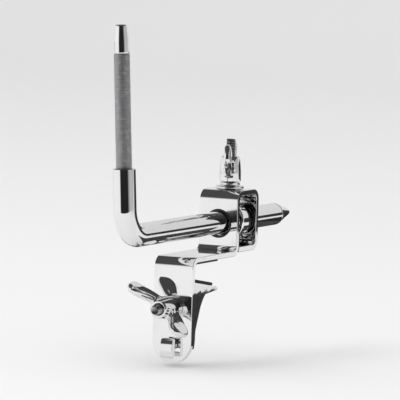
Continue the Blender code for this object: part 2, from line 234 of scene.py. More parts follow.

# %% [markdown]
# ## Plated fasteners, knurl and threads
# Washers and the eyebolt are turned on a lathe, so fine rings run round them. A knurl and a thread get
# painted shade in their roots, a near-black colour, while their crests keep the steel's tone; a grime noise
# breaks up that edge and roughens the surface. The mesh of each carries that height as an attribute, crest,
# which the finish reads back.

# %% Turned steel, knurled steel and threads
def turned_steel(name, tone):
    made = Finish(name, (tone,) * 3, 0.12, 1.0)
    rings = made.node(
        "TexWave", {"Vector": made.place, "Scale": 900.0, "Distortion": 1.5, "Detail": 1.0},
        output=1, wave_type="RINGS", rings_direction="Z",
    )
    made.feed("Roughness", 0.08 + rings * 0.07 + made.noise(200.0) * 0.06)
    made.bump(rings, 0.12, 0.00005)
    return made.material


def crested(name, shaded_root, crest, smooth_root, smooth_crest):
    made = Finish(name, crest, smooth_crest, 1.0)
    height = made.node("Attribute", {}, output=2, attribute_name="crest")
    grime_and_shade_noise = made.noise(320.0, 4.0, 0.65)
    # painted shade: where the crest height is low, the roots blend to the near-black root colour, and the
    # crests keep the crest colour
    out_of_root_shade = made.smooth(height + (grime_and_shade_noise - 0.5) * 0.35, 0.25, 0.85)
    made.feed("Base Color", made.tint(out_of_root_shade, shaded_root, crest))
    made.feed("Roughness", smooth_root + out_of_root_shade * (smooth_crest - smooth_root) + grime_and_shade_noise * 0.06)
    made.bump(grime_and_shade_noise, 0.15, 0.0001)
    return made.material


PLATED = turned_steel("plated_steel", 0.74)
# the first colour of each is painted shade in the roots, the second is the steel's own tone on the crests
KNURL = crested("knurled_steel", (0.10, 0.10, 0.105), (0.56, 0.56, 0.57), 0.5, 0.24)
THREAD = crested("threaded_steel", (0.05, 0.05, 0.055), (0.50, 0.50, 0.51), 0.5, 0.22)
print("steel finishes:", PLATED.name, KNURL.name, THREAD.name)

# %% [markdown]
# ## Rubber and nylon
# The pads are matt black rubber with a fine grain and a little dust. The sleeve and the liners are moulded
# nylon: a bit smoother, with the slow unevenness that a moulding has.

# %% The two blacks
def soft_black(name, tone, roughness, grain, depth):
    made = Finish(name, (tone,) * 3, roughness, 0.0)
    dust = made.smooth(made.noise(240.0, 5.0, 0.7), 0.5, 0.8)
    made.feed("Base Color", made.tint(dust * 0.5, (tone,) * 3, (tone * 2.6, tone * 2.6, tone * 2.5)))
    made.feed("Roughness", roughness + dust * 0.15)
    made.bump(made.noise(grain, 3.0), 0.4, depth)
    return made.material


RUBBER = soft_black("black_rubber", 0.022, 0.62, 2400.0, 0.00012)
NYLON = soft_black("black_nylon", 0.028, 0.38, 900.0, 0.00004)
print("black finishes:", RUBBER.name, NYLON.name)

# %% [markdown]
# ## Making pieces
# Every piece ends the same way: its mesh is linked, shaded smooth, given its finish, and told which moving
# body it rides on and which plain solid it stands for. Chrome shows the slightest shading error next to a
# rounded edge, so flat-sided pieces get weighted normals, which keep the flats flat.

# %% Turning a mesh into a finished piece
def piece(name, bm, finish, body, replaces=(), sharp=None, weighted=True):
    """Link a finished mesh, shade it, and hand it to the frame."""
    mesh = bpy.data.meshes.new(name)
    bm.to_mesh(mesh)
    bm.free()
    made = bpy.data.objects.new(name, mesh)
    bpy.context.scene.collection.objects.link(made)
    mesh.materials.append(finish)
    mesh.shade_smooth()
    if sharp:
        mesh.set_sharp_from_angle(angle=math.radians(sharp))
    if weighted:
        flats = made.modifiers.new("flat faces stay flat", "WEIGHTED_NORMAL")
        flats.keep_sharp = True
        flats.weight = 80
    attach(made, body)
    if replaces:
        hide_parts(*replaces)
    print(name, "has", len(mesh.polygons), "faces")
    return made

# %% [markdown]
# Round pieces are a profile spun about Z and then put in place. Most profiles are rectangles whose corners
# are rounded before the spin, which costs nothing and gives the soft edge that catches the light. A snap
# ring or a spring washer is the same spin stopped short of a full turn.

# %% Rounded outlines and spun rings
ALONG_Y = Matrix.Rotation(math.radians(-90), 4, "X")
SIDEWAYS = Matrix(((0, 0, 1, 0), (1, 0, 0, 0), (0, 1, 0, 0), (0, 0, 0, 1)))


def rectangle(left, bottom, right, out_of_root_shade):
    return [(left, bottom), (right, bottom), (right, out_of_root_shade), (left, out_of_root_shade)]


def rounded(points, radius, steps=4):
    """A closed outline with an arc in place of each corner."""
    out = []
    for i, corner in enumerate(points):
        corner = Vector(corner)
        back = Vector(points[i - 1]) - corner
        ahead = Vector(points[(i + 1) % len(points)]) - corner
        reach = min(radius, back.length * 0.45, ahead.length * 0.45)
        start = corner + back.normalized() * reach
        end = corner + ahead.normalized() * reach
        for k in range(steps + 1):
            t = k / steps
            out.append(tuple(start.lerp(corner, t).lerp(corner.lerp(end, t), t)))
    return out


def tidy_up(bm, place):
    """Merge what meets, point the faces outwards and move the mesh to its place."""
    bmesh.ops.remove_doubles(bm, verts=bm.verts, dist=1e-6)
    bmesh.ops.recalc_face_normals(bm, faces=bm.faces)
    bm.transform(place)


def upright_ring(bm, profile, steps, place):
    """Spin a closed profile of (radius, height) about Z, then put the result in place."""
    corners = [bm.verts.new((radius, 0, height)) for radius, height in profile]
    edges = [bm.edges.new(pair) for pair in zip(corners, corners[1:] + corners[:1])]
    bmesh.ops.spin(
        bm, geom=corners + edges, cent=(0, 0, 0), axis=(0, 0, 1), angle=math.tau, steps=steps, use_merge=True,
    )
    tidy_up(bm, place)


def split_ring(bm, profile, begin, sweep, steps, place, lift=0.0):
    """Spin a filled profile part of the way round, rising by lift as it goes."""
    corners = [bm.verts.new((r * math.cos(begin), r * math.sin(begin), z)) for r, z in profile]
    bmesh.ops.spin(
        bm, geom=[bm.faces.new(corners)], cent=(0, 0, 0), axis=(0, 0, 1), angle=sweep, steps=steps,
        dvec=(0, 0, lift / steps),
    )
    tidy_up(bm, place)


print("piece helpers ready")

# %% [markdown]
# ## The bent strip
# A real bracket is punched flat and then folded, and building it in that order gives the best mesh too. The
# flat blank gets its round end, its slot and its holes while cutting is easy, then a small bevel on every
# sharp edge, as tumbling and plating leave it. After that the blank is sliced across where it will bend, and
# each point is moved to its place along the folded line.

# %% The folded line
class FoldedLine:
    """Straight runs and bends in the Y-Z plane; gives the place of a point on the unfolded strip."""

    def __init__(self, corners, radius):
        self.radius = radius
        self.runs = []
        here = Vector(corners[0])
        for i in range(1, len(corners)):
            corner = Vector(corners[i])
            heading = (corner - here).normalized()
            last = i == len(corners) - 1
            stop = corner if last else corner - heading * radius
            self.runs.append(("straight", (stop - here).length, here, heading, 0))
            if last:
                break
            ahead = (Vector(corners[i + 1]) - corner).normalized()
            side = 1 if heading.cross(ahead) > 0 else -1
            self.runs.append(("bend", radius * math.pi / 2, stop, heading, side))
            here = corner + ahead * radius
        self.length = sum(run[1] for run in self.runs)

    def stations(self, per_bend):
        """Distances at which the blank is sliced."""
        at = 0.0
        cuts = []
        for kind, length, *_ in self.runs:
            if kind == "bend":
                cuts += [at + length * k / per_bend for k in range(per_bend + 1)]
            at += length
        return cuts

    def run_start(self, index):
        return sum(run[1] for run in self.runs[:index])

    def place(self, distance, offset):
        for kind, length, start, heading, side in self.runs:
            if distance <= length or (kind, length) == self.runs[-1][:2]:
                break
            distance -= length
        normal = Vector((-heading.y, heading.x))
        if kind == "straight":
            return start + heading * distance + normal * offset
        centre = start + normal * side * self.radius
        angle = side * distance / self.radius
        arm = -normal * side * (self.radius - side * offset)
        return centre + Matrix.Rotation(angle, 2) @ arm


half = STRIP_T / 2
line = FoldedLine(
    [
        (FACE_Y - half, strip_low[2]),
        (FACE_Y - half, TOP_Z + half),
        (LOOP_Y + half, TOP_Z + half),
        (LOOP_Y + half, strip_high[2] - half),
        (strip_high[1] - half, strip_high[2] - half),
        (strip_high[1] - half, FLOOR_Z + half),
        (LOOP_Y + STRIP_T + 0.4 * MM, FLOOR_Z + half),
    ],
    BEND_R,
)
print("unfolded length in mm:", round(line.length / MM, 1))

# %% [markdown]
# Three small tools come first. One cuts a shape out of another with a Boolean, which suits holes that meet
# a flat face. One fills an outline and gives it thickness. The last rounds every edge that is sharp enough.

# %% Cutting, thickening and softening
def cut(target, bm_cutter, operation="DIFFERENCE"):
    """Boolean one bmesh with another by way of two short-lived objects."""
    objects = []
    for bm in (target, bm_cutter):
        mesh = bpy.data.meshes.new("cut")
        bm.to_mesh(mesh)
        bm.free()
        made = bpy.data.objects.new("cut", mesh)
        bpy.context.scene.collection.objects.link(made)
        objects.append(made)
    modifier = objects[0].modifiers.new("cut", "BOOLEAN")
    modifier.operation = operation
    modifier.solver = "EXACT"
    modifier.object = objects[1]
    graph = bpy.context.evaluated_depsgraph_get()
    result = bmesh.new()
    result.from_mesh(objects[0].evaluated_get(graph).to_mesh())
    for made in objects:
        bpy.data.objects.remove(made)
    bmesh.ops.remove_doubles(result, verts=result.verts, dist=2e-6)
    return result


def of_kind(geom, kind):
    return [part for part in geom if isinstance(part, kind)]


def flat_shape(points, low, high):
    """A filled outline in X-Y, given thickness from low to high in Z."""
    bm = bmesh.new()
    rim = [bm.verts.new((x, y, low)) for x, y in points]
    face = bm.faces.new(rim)
    grown = bmesh.ops.extrude_face_region(bm, geom=[face])["geom"]
    bmesh.ops.translate(bm, verts=of_kind(grown, bmesh.types.BMVert), vec=(0, 0, high - low))
    bmesh.ops.recalc_face_normals(bm, faces=bm.faces)
    return bm


def disc(x, y, radius, sides=56):
    turns = [math.tau * k / sides for k in range(sides)]
    return [(x + radius * math.cos(turn), y + radius * math.sin(turn)) for turn in turns]


def soften(bm, width, segments=3, angle=50.0):
    """Bevel every edge whose faces meet at more than the given angle."""
    bmesh.ops.dissolve_limit(bm, angle_limit=math.radians(0.5), verts=bm.verts, edges=bm.edges)
    sharp = [e for e in bm.edges if len(e.link_faces) == 2 and e.calc_face_angle(0) > math.radians(angle)]
    bmesh.ops.bevel(
        bm, geom=sharp, offset=width, segments=segments, profile=0.5, affect="EDGES", material=-1,
        clamp_overlap=True,
    )


print("cutting tools ready")

# %% [markdown]
# The blank is drawn with its length along Y. A hole's height on the finished bracket is turned into a
# distance along the blank by the run it lies on: the front wall, the top plate or the back wall.

# %% Punch the blank, round its edges and fold it
r_end = STRIP_W / 2
end_arc = [
    (r_end * math.cos(a), r_end + r_end * math.sin(a))
    for a in [math.pi + math.pi * k / 40 for k in range(41)]
]
blank = flat_shape(end_arc + [(r_end, line.length), (-r_end, line.length)], -half, half)
plate_z = strip_low[2]
slot_low, slot_high = -53.2 * MM - plate_z, -45.2 * MM - plate_z
front_wall = line.run_start(4) - (TOP_Z + half + BEND_R)
top_plate = line.run_start(6) - (LOOP_Y + half + BEND_R)
back_wall = line.run_start(8) + (strip_high[2] - half - BEND_R)
hole_z = ROD_Z - ROD_LIFT
punches = [
    rounded(rectangle(-5.8 * MM, slot_low, 5.8 * MM, slot_high), 1.2 * MM),
    disc(0, SCREW_Z - plate_z, STUD_R + 0.6 * MM, 40),
    disc(0, front_wall + hole_z, HOLE_R),
    disc(0, top_plate + BOLT_Y, BOLT_R + 0.5 * MM, 40),
    disc(0, back_wall - hole_z, HOLE_R),
]
for punch in punches:
    blank = cut(blank, flat_shape(punch, -STRIP_T, STRIP_T))
soften(blank, 0.5 * MM)
for station in line.stations(12):
    bmesh.ops.bisect_plane(
        blank, geom=blank.verts[:] + blank.edges[:] + blank.faces[:], plane_co=(0, station, 0),
        plane_no=(0, 1, 0), dist=1e-6,
    )
for vert in blank.verts:
    spot = line.place(vert.co.y, vert.co.z)
    vert.co = (vert.co.x, spot.x, spot.y)
bmesh.ops.recalc_face_normals(blank, faces=blank.faces)
piece("bent_strip", blank, MIRROR, "bracket", ["clamp_bracket"])

# %% [markdown]
# ## Pulling a ring along
# Tubes, beads and the rod itself all grow as they would by hand in the editor: take a ring of edges,
# extrude it, move the new ring, scale it, and go on from there.

# %% Extrude, move and scale a ring
def pull(bm, edges, offset, factor=1.0, centre=(0, 0, 0)):
    """Extrude edges, scale the new ones about a centre and move them; gives back the new far edges."""
    grown = bmesh.ops.extrude_edge_only(bm, edges=edges)["geom"]
    points = of_kind(grown, bmesh.types.BMVert)
    about = Matrix.Translation(-Vector(centre))
    bmesh.ops.scale(bm, verts=points, vec=(factor, factor, factor), space=about)
    bmesh.ops.translate(bm, verts=points, vec=offset)
    fresh = set(points)
    return [e for e in of_kind(grown, bmesh.types.BMEdge) if fresh.issuperset(e.verts)]


def follow(bm, edges, centre, heading, path):
    """Pull a ring through (distance, radius) pairs; the first pair says where it is now."""
    for (here, radius), (ahead, next_radius) in zip(path, path[1:]):
        edges = pull(bm, edges, heading * (ahead - here), next_radius / radius, centre + heading * here)
    return edges


def first_ring(bm, radius, sides, place, filled=False):
    ring = bmesh.ops.create_circle(bm, cap_ends=filled, radius=radius, segments=sides, matrix=place)["verts"]
    return list({e for v in ring for e in v.link_edges})


print("ring helpers ready")

# %% [markdown]
# The loop closes on itself: the bottom plate's end is welded to the back of the front wall. A bead is a row
# of overlapping ripples, made here as a tube whose radius rises and falls along its length.

# %% Weld beads inside the loop
def weld_bead(bm, y, z, radius, half_length, steps=96, sides=20):
    def size(i):
        ends = math.sqrt(max(0.0, 1 - (2 * i / steps - 1) ** 10))
        ripple = 1 + 0.07 * math.cos(i * math.tau / 5) + 0.05 * math.sin(i * 0.37)
        return max(radius * ends * ripple, 1e-5)

    begin = Vector((-half_length, y, z))
    upright = Matrix.Translation(begin) @ Matrix.Rotation(math.radians(90), 4, "Y")
    ring = first_ring(bm, size(0), sides, upright, filled=True)
    path = [(2 * half_length * i / steps, size(i)) for i in range(steps + 1)]
    ring = follow(bm, ring, begin, Vector((1, 0, 0)), path)
    bmesh.ops.contextual_create(bm, geom=ring)
    bmesh.ops.recalc_face_normals(bm, faces=bm.faces)


weld = bmesh.new()
wall_back = LOOP_Y + STRIP_T
weld_bead(weld, wall_back, FLOOR_Z + STRIP_T, 1.35 * MM, STRIP_W / 2 - 1.2 * MM)
weld_bead(weld, wall_back, FLOOR_Z, 1.1 * MM, STRIP_W / 2 - 1.2 * MM)
piece("weld_beads", weld, CAST_CHROME, "bracket", weighted=False)

# %% [markdown]
# ## Rubber pads
# A pad under the top plate and one on the claw's jaw keep the steel off the hoop's lacquer. Each is a thin
# slab with rounded corners and softened edges; the jaw's lies on a slope, so it is made flat and then turned.

# %% Pads on the hoop and on the jaw
def slab(low, high, corner, edge):
    """A slab with rounded corners in plan and softened edges, lying in X-Y."""
    bm = flat_shape(rounded(rectangle(low[0], low[1], high[0], high[1]), corner, 6), low[2], high[2])
    soften(bm, edge)
    return bm


pad_low, pad_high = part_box("hoop_pad")
piece("seat_pad", slab(pad_low, pad_high, 1.2 * MM, 0.25 * MM), RUBBER, "bracket", ["hoop_pad"])
jaw_low, jaw_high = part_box("claw_pad")
jaw_slope = math.atan2(4.8, 30.0)
jaw_place = Matrix.Translation((0, FACE_Y + 4.2 * MM, -10.8 * MM - 1.2 * MM * math.tan(jaw_slope)))
jaw = slab((jaw_low[0], 0.1 * MM, GAP), (jaw_high[0], 25.9 * MM, GAP + 1.75 * MM), 1.2 * MM, 0.4 * MM)
jaw.transform(jaw_place @ Matrix.Rotation(-jaw_slope, 4, "X"))
piece("jaw_pad", jaw, RUBBER, "claw", ["claw_pad"])

# %% [markdown]
# ## The claw
# The claw is a hooked casting seen mostly edge-on: two cheeks joined by a web, a flat jaw on top that
# presses the rubber up against the hoop, and a tongue that pokes through the plate's slot and hooks over its
# front. Each outline is drawn from the side, given its width, and joined or cut, then every sharp edge is
# rounded in one go.

# %% Claw from side outlines
def side_shape(points, width, corner=0.0):
    """An outline in (behind the plate, height), given a width across X."""
    moved = [(FACE_Y + y * MM, z * MM) for y, z in points]
    bm = flat_shape(rounded(moved, corner * MM) if corner else moved, -width / 2, width / 2)
    bm.transform(SIDEWAYS)
    return bm


CLAW_W = claw_high[0] - claw_low[0]
claw_side = [
    (0.8, -10.6), (3.0, -10.8), (33.0, -15.6), (34.0, -16.4), (33.4, -17.6), (17.0, -19.0), (14.0, -21.6),
    (10.7, -26.2), (7.5, -33.2), (4.6, -40.2), (4.0, -48.0), (3.0, -51.4), (0.8, -51.4),
]
front_pocket = [(-2.0, -15.0), (6.0, -15.0), (6.0, -28.0), (1.6, -42.0), (-2.0, -42.0)]
rear_pocket = [(9.0, -33.0), (24.0, -33.0), (24.0, -22.0), (17.0, -17.2), (9.0, -16.5)]
tongue = [
    (3.0, -48.0), (-6.4, -48.0), (-6.6, -45.4), (-8.0, -44.6), (-9.6, -45.2), (-10.6, -48.0), (-11.0, -52.0),
    (-10.6, -55.6), (-9.0, -56.6), (-7.2, -55.6), (-6.4, -50.8), (3.0, -50.8),
]
casting = side_shape(claw_side, CLAW_W, 1.0)
between_cheeks = CLAW_W - 5.2 * MM
casting = cut(casting, side_shape(front_pocket, between_cheeks, 1.0))
casting = cut(casting, side_shape(rear_pocket, between_cheeks, 1.0))
casting = cut(casting, side_shape(tongue, 8 * MM, 0.5), "UNION")
slot_half = STUD_R + 0.6 * MM
opening = rounded(rectangle(-slot_half, -4.2 * MM, slot_half, 6.6 * MM), 1.5 * MM, 6)
screw_slot = flat_shape(opening, -14 * MM, -3 * MM)
screw_slot.transform(Matrix.Translation((0, FACE_Y, SCREW_Z)) @ Matrix.Rotation(math.radians(90), 4, "X"))
casting = cut(casting, screw_slot)
soften(casting, 0.45 * MM, 3, 34.0)
piece("claw_casting", casting, CAST_CHROME, "claw", ["claw"])

# %% [markdown]
# ## Threads
# A cut thread is a cylinder pushed in and out along a helix. One edge is subdivided and spun into a fine
# tube, and then each point is moved in or out by a triangle wave with flattened crests and roots. The same
# number is kept on the point as its crest, for the finish to read.

# %% Threaded rods
def fine_tube(bm, radius, low, high, rows, sides):
    """A closed tube along Z with even rows; gives its crest layer and each point with its turn."""
    crest = bm.verts.layers.float.new("crest")
    edge = bm.edges.new([bm.verts.new((radius, 0, z)) for z in (low, high)])
    bmesh.ops.subdivide_edges(bm, edges=[edge], cuts=rows - 1)
    bmesh.ops.spin(
        bm, geom=bm.verts[:] + bm.edges[:], cent=(0, 0, 0), axis=(0, 0, 1), angle=math.tau, steps=sides,
        use_merge=True,
    )
    bmesh.ops.holes_fill(bm, edges=bm.edges, sides=0)
    return crest, [(vert, math.atan2(vert.co.y, vert.co.x) / math.tau) for vert in bm.verts]


def threaded(bm, radius, pitch, depth, low, high, chamfer, sides=48, per_turn=10, plain=None):
    """A rod along Z with a right-hand thread; plain is the height below which it has none."""
    rows = int((high - low) / pitch * per_turn)
    crest, points = fine_tube(bm, radius, low, high, rows, sides)
    for vert, turn in points:
        z = vert.co.z
        wave = abs(((z / pitch - turn) % 1.0) * 2 - 1)
        rise = min(max((wave - 0.14) / 0.66, 0.0), 1.0)
        if plain is not None and z < plain:
            rise = 1.0
        limit = radius - max(0.0, chamfer - min(z - low, high - z))
        vert.co.xy *= min(radius - depth * (1 - rise), limit) / radius
        vert[crest] = rise
    bmesh.ops.recalc_face_normals(bm, faces=bm.faces)


on_screw = Matrix.Translation((0, 0, SCREW_Z)) @ ALONG_Y
stud = bmesh.new()
threaded(stud, STUD_R, 1.0 * MM, 0.5 * MM, stud_low[1], stud_high[1], 0.5 * MM)
stud.transform(on_screw)
piece("clamp_stud_thread", stud, THREAD, "clamp_screw", ["clamp_stud"], sharp=70, weighted=False)

# %% [markdown]
# ## Eyebolt
# The rod is gripped by an eyebolt drawn up through the loop's top plate. Its ring is forged and then turned
# smooth, with generous rounding, and its shank carries an M6 thread for the wing nut. The nylon sleeve in
# the ring stops the rod from being scored.

# %% Ring, shank and sleeve
on_rod = Matrix.Translation((0, BOLT_Y, ROD_Z)) @ ALONG_Y
on_bolt = Matrix.Translation((0, BOLT_Y, 0))
ring_r = (eye_high[0] - eye_low[0]) / 2
ring_half, sleeve_half, bore = 4.5 * MM, 5.15 * MM, 8.5 * MM
eye = bmesh.new()
upright_ring(eye, rounded(rectangle(bore, -ring_half, ring_r, ring_half), 1.4 * MM, 8), 96, on_rod)
piece("eyebolt_ring", eye, MIRROR, "eyebolt", ["eyebolt"])
shank = bmesh.new()
shank_low, thread_low = ROD_Z + 10.2 * MM, ROD_Z + 13.0 * MM
threaded(shank, BOLT_R, 1.0 * MM, 0.5 * MM, shank_low, eye_high[2], 0.6 * MM, plain=thread_low)
shank.transform(on_bolt)
piece("eyebolt_shank", shank, THREAD, "eyebolt", sharp=70, weighted=False)
sleeve = bmesh.new()
sleeve_wall = rectangle(ROD_R + GAP, -sleeve_half, bore - GAP, sleeve_half)
upright_ring(sleeve, rounded(sleeve_wall, 0.3 * MM), 96, on_rod)
piece("eye_sleeve_moulding", sleeve, NYLON, "sleeve", ["eye_sleeve"])

# %% [markdown]
# ## Washers
# The flat washers are stampings with a rolled edge. The lock washer is a square wire coiled a single turn,
# so its ends stand apart: a ring spun a little short of a full turn, and lifted as it goes.

# %% Flat washers and split lock washer
def flat_washer(name, node, outer, low, high, place):
    bm = bmesh.new()
    upright_ring(bm, rounded(rectangle(3.4 * MM, low, outer, high), 0.4 * MM, 5), 96, place)
    piece(name, bm, PLATED, "bracket", [node])


flat_low, flat_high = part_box("flat_washer")
flat_washer("top_washer", "flat_washer", (flat_high[0] - flat_low[0]) / 2, flat_low[2], flat_high[2], on_bolt)
screw_washer_r = (washer_high[0] - washer_low[0]) / 2
flat_washer("screw_washer", "clamp_washer", screw_washer_r, washer_low[1], washer_high[1], on_screw)
lock_low, lock_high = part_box("lock_washer")
lock = bmesh.new()
lift, half_gap = 0.25 * MM, 0.09
wire = rounded(rectangle(3.5 * MM, lock_low[2], 6.15 * MM, lock_high[2] - lift), 0.25 * MM, 3)
split_ring(lock, wire, half_gap, math.tau - 2 * half_gap, 80, on_bolt, lift)
piece("split_washer", lock, PLATED, "bracket", ["lock_washer"], sharp=50)

# %% [markdown]
# ## Wing nut and wing screw
# Both heads come from the same casting: a tapered round boss with two rounded ears. Cast ears swell out of
# the boss with no line between them, which suits a subdivision surface. An eight-sided ring makes the boss;
# three faces on each side of it are extruded out into an ear, and the subdivision does the blending.

# %% The ears' outline, and one wing casting
EAR_MM = [
    [(8.6, 3.2), (8.8, 7.0), (8.8, 11.6), (8.8, 16.4)],
    [(12.8, 5.2), (12.4, 9.8), (11.8, 15.0), (11.4, 20.2)],
    [(17.2, 8.6), (16.4, 13.2), (15.2, 18.8), (14.4, 24.4)],
    [(21.7, 11.8), (21.3, 16.2), (20.1, 21.2), (17.9, 26.4)],
    [(24.2, 15.6), (24.2, 18.4), (23.8, 21.4), (21.6, 25.2)],
]
EAR_HALF_MM = [2.3, 2.3, 2.3, 2.3, 2.3 * 0.82]
BOSS_MM = [(0.0, 6.7), (0.5, 7.0), (3.2, 7.0), (6.6, 6.9), (10.2, 6.6), (13.8, 6.2)]


def pull_ear(bm, side, drop):
    """Extrude the three faces on one side of the boss from column to column of the ear."""
    patch = []
    for face in bm.faces:
        x, y, z = face.calc_center_median() / MM
        if side * x > 5.5 and abs(y) < 1.0 and 3.2 < z < 13.8:
            patch.append(face)
    for step, (column, half_t) in enumerate(zip(EAR_MM, EAR_HALF_MM)):
        grown = bmesh.ops.extrude_face_region(bm, geom=patch)["geom"]
        # the boss keeps its two cross edges, which hold the ear's root a little firmer
        bmesh.ops.delete(bm, geom=patch, context="FACES" if step else "FACES_ONLY")
        patch = of_kind(grown, bmesh.types.BMFace)
        points = sorted(of_kind(grown, bmesh.types.BMVert), key=lambda v: v.co.z)
        for i, vert in enumerate(points):
            out, up = column[i // 2]
            up -= drop * min(1.0, up / 18.0)
            vert.co = (side * out * MM, math.copysign(half_t * MM, vert.co.y), up * MM)


def wing_casting(name, node, bore_r, height, drop, place, body):
    swell = 1 / 0.93
    boss = [(r * MM * swell, z * MM) for z, r in BOSS_MM]
    boss += [(5.7 * MM * swell, height - 0.5 * MM), (5.2 * MM * swell, height)]
    lip, edge = (bore_r + 0.5 * MM) * swell, bore_r * swell
    boss += [(lip, height), (edge, height - 0.5 * MM), (edge, 0.5 * MM), (lip, 0.0)]
    bm = bmesh.new()
    upright_ring(bm, boss, 8, Matrix.Rotation(math.pi / 8, 4, "Z"))
    for side in (1, -1):
        pull_ear(bm, side, drop)
    tidy_up(bm, place)
    made = piece(name, bm, CAST_CHROME, body, [node], weighted=False)
    blend = made.modifiers.new("cast blend", "SUBSURF")
    blend.levels = 3
    blend.render_levels = 3


clamp_place = (
    Matrix.Translation((0, 0, SCREW_Z)) @ Matrix.Rotation(math.radians(38), 4, "Y")
    @ Matrix.Translation((0, washer_low[1] - GAP, 0)) @ Matrix.Rotation(math.radians(90), 4, "X")
)
top_place = Matrix.Translation((0, BOLT_Y, wing_low[2])) @ Matrix.Rotation(math.radians(110), 4, "Z")
wing_casting("clamp_wing_head", "clamp_wing", STUD_R + GAP, 17.9 * MM, 0.0, clamp_place, "clamp_screw")
wing_casting("top_wing_nut", "wing_nut", BOLT_R + GAP, 15.9 * MM, 1.7, top_place, "wing_nut")

# %% [markdown]
# ## The L-rod
# The thick rod is cold bent from bar. A ring is pulled along the straight leg, spun through ninety degrees
# and pulled up again: the same three moves that the bar takes. The rod is built upright and then turned
# three degrees about its own long axis, as somebody left it.

# %% Rod with its bend and socket
lean = (
    Matrix.Translation((0, 0, ROD_Z)) @ Matrix.Rotation(-POST_LEAN, 4, "Y")
    @ Matrix.Translation((0, 0, -ROD_Z))
)
ROD_END = nose_low[1] + 8.5 * MM
NOSE_END = nose_high[1]
LEG_TOP = 62.0 * MM
LIP = 0.8 * MM
LIP_R = ROD_R - LIP

rod = bmesh.new()
mouth = Vector((0, ROD_END, ROD_Z))
ring = first_ring(rod, LIP_R, 96, Matrix.Translation(mouth) @ Matrix.Rotation(math.radians(90), 4, "X"))
quarter = [math.pi / 2 * k / 4 for k in range(5)]
mouth_path = [(LIP * (1 - math.cos(a)), LIP_R + LIP * math.sin(a)) for a in quarter]
ring = follow(rod, ring, mouth, Vector((0, -1, 0)), mouth_path)
straight = ROD_END - LIP - (LEG_Y + ROD_BEND_R)
for _ in range(12):
    ring = pull(rod, ring, (0, -straight / 12, 0))
bent = bmesh.ops.spin(
    rod, geom=list({v for e in ring for v in e.verts}) + ring,
    cent=(0, LEG_Y + ROD_BEND_R, ROD_Z + ROD_BEND_R), axis=(1, 0, 0), angle=math.radians(-90), steps=32,
)["geom_last"]
ring = of_kind(bent, bmesh.types.BMEdge)
rise = LEG_TOP - LIP - (ROD_Z + ROD_BEND_R)
for _ in range(4):
    ring = pull(rod, ring, (0, 0, rise / 4))
quarter = [math.pi / 2 * k / 5 for k in range(6)]
socket = POST_R + 0.2 * MM
top_path = [(LIP * math.sin(a), LIP_R + LIP * math.cos(a)) for a in quarter]
top_path += [(LIP, socket), (LIP - 3 * MM, socket)]
ring = follow(rod, ring, Vector((0, LEG_Y, LEG_TOP - LIP)), Vector((0, 0, 1)), top_path)
bmesh.ops.holes_fill(rod, edges=rod.edges, sides=0)
tidy_up(rod, lean)
piece("bent_rod", rod, ROD_CHROME, "rod", ["l_rod"])

# %% [markdown]
# The rod's far end is turned to a blunt point, so that it finds the eyebolt when it is pushed through. The
# point is a profile from the axis out and back to the axis, spun once round.

# %% The pointed end
cone_r = ROD_R - 0.1 * MM
nose_line = [
    (0.0, ROD_END + GAP), (cone_r, ROD_END + GAP), (cone_r, ROD_END + 0.9 * MM),
    (2.0 * MM, NOSE_END - 0.2 * MM), (0.0, NOSE_END - 0.0001 * MM),
]
nose_round = [(max(r, 0.0), y) for r, y in rounded(nose_line, 0.8 * MM, 5)]
nose = bmesh.new()
upright_ring(nose, nose_round, 72, Matrix.Translation((0, 0, ROD_Z)) @ ALONG_Y)
nose.transform(lean)
piece("pointed_nose", nose, ROD_CHROME, "rod", ["rod_nose"])

# %% [markdown]
# ### The knurl
# A knurling wheel presses two sets of opposite spirals into the post; what stays standing is a field of
# small diamonds. The height is the lower of two ridge waves, one running up to the left and one up to the
# right, so it is highest where two ridges cross. As with the threads, it is kept as crest for the finish.

# %% Knurled post and its smooth tip
POST_TOP = 147.0 * MM
TIP_L = 17.0 * MM
KNURL_DEEP = 0.30 * MM
AROUND = 24
PITCH = 1.6 * MM
knurl_low, knurl_high = LEG_TOP - 2.6 * MM, POST_TOP - TIP_L
post = bmesh.new()
rows = int((knurl_high - knurl_low) / (PITCH / 5))
crest, points = fine_tube(post, POST_R, knurl_low, knurl_high, rows, 144)
for vert, turn in points:
    z = vert.co.z
    fade = min(1.0, (knurl_high - z) / (0.8 * MM))
    left = abs(((turn * AROUND + z / PITCH) % 1.0) * 2 - 1)
    right = abs(((turn * AROUND - z / PITCH) % 1.0) * 2 - 1)
    height = min(min(left, right) / 0.42, 1.0)
    vert.co.xy *= (POST_R - 0.02 * MM - KNURL_DEEP * (1 - height * fade)) / POST_R
    vert[crest] = height
bmesh.ops.recalc_face_normals(post, faces=post.faces)
on_leg = Matrix.Translation((0, LEG_Y, 0))
post.transform(lean @ on_leg)
piece("diamond_knurl", post, KNURL, "rod", ["knurled_post"], weighted=False)

shoulder_r, tip_top = POST_R - 0.1 * MM, POST_TOP - 0.05 * MM
tip_line = [
    (0.0, knurl_high - 0.4 * MM), (POST_R - 0.45 * MM, knurl_high - 0.4 * MM),
    (shoulder_r, knurl_high + 0.3 * MM), (shoulder_r, POST_TOP - 10 * MM),
    (POST_R - 1.1 * MM, tip_top), (0.0, tip_top),
]
tip = bmesh.new()
upright_ring(tip, rounded(tip_line, 1.0 * MM, 6), 96, on_leg)
tip.transform(lean)
piece("post_tip", tip, MIRROR, "rod", weighted=False)

# %% [markdown]
# ## Liners, nut and retaining ring
# The last small pieces mostly hide inside others: two nylon liners in the loop's holes, the half-round nut
# that pulls on the claw, and the split ring that keeps the screw from being lost.

